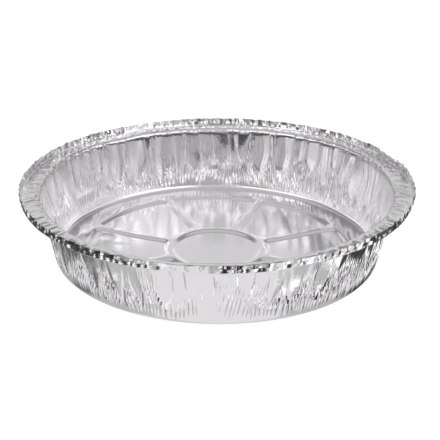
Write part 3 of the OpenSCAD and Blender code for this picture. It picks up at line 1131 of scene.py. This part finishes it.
    def fold(self, turn: np.ndarray, angle: np.ndarray, part: np.ndarray, sections: np.ndarray,
             r: np.ndarray, z: np.ndarray) -> tuple[np.ndarray, np.ndarray, np.ndarray]:
        """Gathers the wall, ripples the flange, crimps the hem and bends the whole rim.

        Args:
            turn: Place of each point round the pan, 1 for a full turn.
            angle: The same in radians.
            part: Each point's part of its section.
            sections: The value of each point's section.
            r: Radius of each point.
            z: Height of each point.

        Returns:
            The new radii and heights, and the height that shading adds to the wall's folds.
        """
        rim = self.rim
        on = {section: sections == section.value for section in Section}
        v = np.where(on[Section.WALL], part, np.where(on[Section.CORNER], 0, 1))
        push, folds = self.wall.push(turn, v)
        keep = np.select([on[Section.WALL], on[Section.SHOULDER], on[Section.FLANGE]],
                         [np.ones_like(r), mix(1, self.rim_push, part), self.rim_push * (1 - part)], 0)
        bent = np.select([on[Section.WALL], on[Section.CORNER]], [part, np.zeros_like(r)], 1)
        pushed_in = np.select(
            [on[Section.WALL], on[Section.CORNER], on[Section.SHOULDER], on[Section.FLANGE]],
            [self.wall_dent * part ** 2, np.zeros_like(r), np.full_like(r, self.wall_dent),
             mix(self.wall_dent, self.flange_dent, part)],
            np.where(on[Section.HEM], mix(self.flange_dent, self.hem_dent, part), self.flange_dent))
        r = r + push * keep - rim.dent(angle) * pushed_in
        z = z + rim.warp(angle) * bent
        z = z + np.where(on[Section.FLANGE], rim.flange_shift(turn, part), 0)
        edge = rim.flange_shift(turn, np.zeros_like(part))
        z = z + np.where(on[Section.SHOULDER], edge * part, 0)
        outer = rim.flange_shift(turn, np.ones_like(part))
        z = z + np.where(on[Section.BEND], outer, 0)
        z = z + np.where(on[Section.HEM], outer * (1 - self.hem_steadies * part), 0)
        out, up = rim.hem_shift(turn, part)
        foot_out = rim.hem_shift(turn, np.zeros_like(part))[0]
        r = r + np.where(on[Section.HEM], out, 0) + np.where(on[Section.BEND], foot_out * part, 0)
        z = z + np.where(on[Section.HEM], up, 0)
        reach = self.half_box / np.maximum(np.abs(np.cos(angle)), np.abs(np.sin(angle)))
        r = np.minimum(r, reach)
        z = np.minimum(z, self.top_z)
        return r, z, folds * keep

    def build(self) -> bpy.types.Object:
        """Builds, thickens and dresses the pan.

        Returns:
            The finished piece, riding on its body in place of the CAD solid.
        """
        mesh = bmesh.new()
        mesh.verts.layers.float.new(FOLD_LAYER)
        self.base.build(mesh)
        self.build_side(mesh)
        low_z = self.base.web_h + self.seam_margin
        loose = [e for e in mesh.edges if e.is_boundary and e.verts[0].co.z < low_z]
        bmesh.ops.bridge_loops(mesh, edges=loose)
        bmesh.ops.recalc_face_normals(mesh, faces=mesh.faces)
        self.face_outwards(mesh)
        bmesh.ops.scale(mesh, vec=(MM, MM, MM), verts=mesh.verts)
        hem_r = (self.flange_out_r - self.rim.hem_bend / 2) * MM
        for face in mesh.faces:
            face.smooth = face.calc_center_median().to_2d().length < hem_r
        data = bpy.data.meshes.new("foil_pan")
        mesh.to_mesh(data)
        mesh.free()
        pan = bpy.data.objects.new("foil_pan", data)
        bpy.context.scene.collection.objects.link(pan)
        thick = pan.modifiers.new("foil_thickness", "SOLIDIFY")
        thick.thickness = self.foil * MM
        thick.offset = -1
        data.materials.append(self.finish.material(FoilCreases().group()))
        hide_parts("pan")
        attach(pan, "root")
        LOG.info("foil_pan: %d faces on one skin", len(data.polygons))
        return pan

    @staticmethod
    def face_outwards(mesh: bmesh.types.BMesh) -> None:
        """Turns the skin so that its faces look down and outwards.

        Args:
            mesh: The open skin, with all its faces turned one way.
        """
        middle = min(mesh.faces, key=lambda f: f.calc_center_median().to_2d().length)
        if middle.normal.z > 0:
            bmesh.ops.reverse_faces(mesh, faces=mesh.faces)


@dataclass(frozen=True)
class LightCard:
    """A soft-edged light card far away, placed by its direction from the pan, in degrees.

    Attributes:
        azimuth: Direction of its middle, 0 in front and 90 on the right.
        elevation: Height of its middle above the horizon.
        half_w: Half its width.
        half_h: Half its height.
        strength: Its brightness, 1 for white.
        soft: Half the width of its soft edge, as a share of its own half width and height.
    """

    azimuth: float
    elevation: float
    half_w: float
    half_h: float
    strength: float
    soft: float = 0.2

    def level(self, graph: NodeMaths, azimuth: bpy.types.NodeSocket,
              elevation: bpy.types.NodeSocket) -> bpy.types.NodeSocket:
        """Brightness that the card gives a direction.

        Args:
            graph: Node tree that takes the nodes.
            azimuth: Azimuth of the direction, in radians.
            elevation: Elevation of the direction, in radians.

        Returns:
            The brightness.
        """
        turned = graph.node("SUBTRACT", azimuth, math.radians(self.azimuth))
        wrapped = graph.node("ABSOLUTE", graph.node("WRAP", turned, math.pi, -math.pi))
        side = graph.node("DIVIDE", wrapped, math.radians(self.half_w))
        raised = graph.node("ABSOLUTE", graph.node("SUBTRACT", elevation, math.radians(self.elevation)))
        height = graph.node("DIVIDE", raised, math.radians(self.half_h))
        off = graph.node("MAXIMUM", side, height)
        return graph.ramp(off, 1 + self.soft, 1 - self.soft, 0.0, self.strength)


@dataclass
class Studio:
    """Pale floor, soft surrounding light and the camera at the photograph's angle.

    Attributes:
        distance: Distance of the camera, in millimetres.
        elevation: How high it stands, with pitch, yaw and roll as its aim, in radians.
        focal_px: Its focal length in pixels of the photograph.
        aim_z: Height of the point that the distance is measured from, in millimetres.
        sensor_w: Width of its sensor, in millimetres.
        clip_start: Nearest distance that it sees, in metres.
        floor_r: Radius of the floor in metres.
        floor_grey: How white the floor's paper is, and floor_glow how much it glows.
        table_ends: Elevation at which the lit table fades out, and table_full at which it has
            its full brightness table_level, in degrees. The ceiling has the same three.
        horizon_level: Brightness between table and ceiling.
        cards: Light cards.
        flags: Dark flags, whose strength is the share of the light that they take away.
    """

    distance: float = 667.4
    elevation: float = 0.4396
    pitch: float = -0.0253
    yaw: float = 0.0032
    roll: float = 0.012
    focal_px: float = 1092.75
    aim_z: float = 1.2
    sensor_w: float = 36.0
    clip_start: float = 0.01
    floor_r: float = 4.0
    floor_sides: int = 96
    floor_grey: float = 0.3
    floor_glow: float = 0.86
    table_ends: float = -8.0
    table_full: float = -30.0
    table_level: float = 0.52
    horizon_level: float = 0.28
    ceiling_starts: float = 38.0
    ceiling_full: float = 56.0
    ceiling_level: float = 0.55
    cards: tuple[LightCard, ...] = (
        LightCard(azimuth=0, elevation=-62, half_w=62, half_h=34, strength=0.82),
        LightCard(azimuth=180, elevation=-80, half_w=120, half_h=22, strength=0.7),
        LightCard(azimuth=68, elevation=-28, half_w=36, half_h=12, strength=1.3),
        LightCard(azimuth=-62, elevation=-27, half_w=32, half_h=11, strength=1.0),
        LightCard(azimuth=180, elevation=9, half_w=75, half_h=6, strength=0.6),
        LightCard(azimuth=-45, elevation=34, half_w=34, half_h=24, strength=0.72),
        LightCard(azimuth=48, elevation=35, half_w=34, half_h=24, strength=0.9),
        LightCard(azimuth=-47, elevation=28, half_w=30, half_h=13, strength=1.4),
        LightCard(azimuth=48, elevation=28, half_w=32, half_h=14, strength=1.5),
        LightCard(azimuth=0, elevation=34, half_w=16, half_h=22, strength=0.62),
        LightCard(azimuth=180, elevation=26, half_w=38, half_h=8, strength=0.7),
        LightCard(azimuth=-100, elevation=20, half_w=24, half_h=10, strength=0.75),
        LightCard(azimuth=96, elevation=32, half_w=18, half_h=18, strength=0.8),
    )
    flags: tuple[LightCard, ...] = (
        LightCard(azimuth=0, elevation=-1, half_w=70, half_h=11, strength=0.93),
        LightCard(azimuth=-108, elevation=-2, half_w=42, half_h=10, strength=0.75),
        LightCard(azimuth=108, elevation=-2, half_w=42, half_h=10, strength=0.6),
        LightCard(azimuth=-114, elevation=-25, half_w=24, half_h=16, strength=0.7),
        LightCard(azimuth=-160, elevation=-16, half_w=32, half_h=10, strength=0.6),
        LightCard(azimuth=126, elevation=-25, half_w=29, half_h=17, strength=0.9),
    )

    def build_floor(self) -> bpy.types.Object:
        """Makes the floor that the pan stands on.

        Returns:
            The floor, which the foil doesn't mirror.
        """
        mesh = bmesh.new()
        bmesh.ops.create_circle(mesh, cap_ends=True, segments=self.floor_sides, radius=self.floor_r)
        data = bpy.data.meshes.new("floor")
        mesh.to_mesh(data)
        mesh.free()
        floor = bpy.data.objects.new("floor", data)
        bpy.context.scene.collection.objects.link(floor)
        data.materials.append(self.floor_material())
        floor.visible_glossy = False
        return floor

    def floor_material(self) -> bpy.types.Material:
        """Builds white paper that glows, so that it is white and still takes a shadow.

        Returns:
            The floor's material.
        """
        made = bpy.data.materials.new("white_paper")
        made.use_nodes = True
        nodes = made.node_tree.nodes
        links = made.node_tree.links
        nodes.remove(nodes["Principled BSDF"])
        paper = nodes.new("ShaderNodeBsdfDiffuse")
        paper.inputs["Color"].default_value = (self.floor_grey, self.floor_grey, self.floor_grey, 1)
        glow = nodes.new("ShaderNodeEmission")
        glow.inputs["Strength"].default_value = self.floor_glow
        both = nodes.new("ShaderNodeAddShader")
        links.new(paper.outputs["BSDF"], both.inputs[0])
        links.new(glow.outputs["Emission"], both.inputs[1])
        links.new(both.outputs["Shader"], nodes["Material Output"].inputs["Surface"])
        return made

    def build_world(self) -> None:
        """Surrounds the pan with a lit table, a dark horizon, soft boxes and a dim ceiling."""
        world = bpy.data.worlds.new("studio")
        bpy.context.scene.world = world
        world.use_nodes = True
        nodes = world.node_tree.nodes
        links = world.node_tree.links
        place = nodes.new("ShaderNodeTexCoord")
        axes = nodes.new("ShaderNodeSeparateXYZ")
        links.new(place.outputs["Generated"], axes.inputs["Vector"])
        graph = NodeMaths(nodes, links)
        to_front = graph.node("MULTIPLY", axes.outputs["Y"], -1.0)
        azimuth = graph.node("ARCTAN2", axes.outputs["X"], to_front)
        elevation = graph.node("ARCSINE", axes.outputs["Z"])
        level = graph.ramp(elevation, math.radians(self.table_ends), math.radians(self.table_full),
                           self.horizon_level, self.table_level)
        ceiling = graph.ramp(elevation, math.radians(self.ceiling_starts),
                             math.radians(self.ceiling_full), 0.0, self.ceiling_level)
        level = graph.node("MAXIMUM", level, ceiling)
        for card in self.cards:
            level = graph.node("MAXIMUM", level, card.level(graph, azimuth, elevation))
        for flag in self.flags:
            kept = graph.node("SUBTRACT", 1.0, flag.level(graph, azimuth, elevation))
            level = graph.node("MULTIPLY", level, kept)
        path = nodes.new("ShaderNodeLightPath")
        seen = graph.node("MAXIMUM", level, path.outputs["Is Camera Ray"])
        background = nodes["Background"]
        background.inputs["Color"].default_value = (1, 1, 1, 1)
        links.new(seen, background.inputs["Strength"])

    def build_camera(self) -> bpy.types.Object:
        """Puts the camera where the photograph was taken from.

        Returns:
            The camera.
        """
        reach = self.distance * MM
        stand = Vector((0, -reach * math.cos(self.elevation),
                        reach * math.sin(self.elevation) + self.aim_z * MM))
        down = self.elevation + self.pitch
        forward = Vector((math.sin(self.yaw) * math.cos(down),
                          math.cos(self.yaw) * math.cos(down),
                          -math.sin(down)))
        right = forward.cross(Vector((0, 0, 1))).normalized()
        up = right.cross(forward)
        turned_right = right * math.cos(self.roll) + up * math.sin(self.roll)
        turned_up = up * math.cos(self.roll) - right * math.sin(self.roll)
        data = bpy.data.cameras.new("camera")
        data.sensor_width = self.sensor_w
        data.lens = self.focal_px / IMAGE_PX * data.sensor_width
        data.clip_start = self.clip_start
        camera = bpy.data.objects.new("camera", data)
        bpy.context.scene.collection.objects.link(camera)
        turn = Matrix((turned_right, turned_up, -forward)).transposed()
        camera.matrix_world = Matrix.Translation(stand) @ turn.to_4x4()
        bpy.context.scene.camera = camera
        return camera

    def build(self) -> None:
        """Sets up floor, world, camera and view."""
        self.build_floor()
        self.build_world()
        self.build_camera()
        bpy.context.scene.view_settings.view_transform = "Standard"


def main() -> None:
    """Builds the pan and its studio."""
    logging.basicConfig(level=logging.INFO, format="%(name)s: %(message)s")
    Studio().build()
    PiePan().build()


if __name__ == "__main__":
    main()
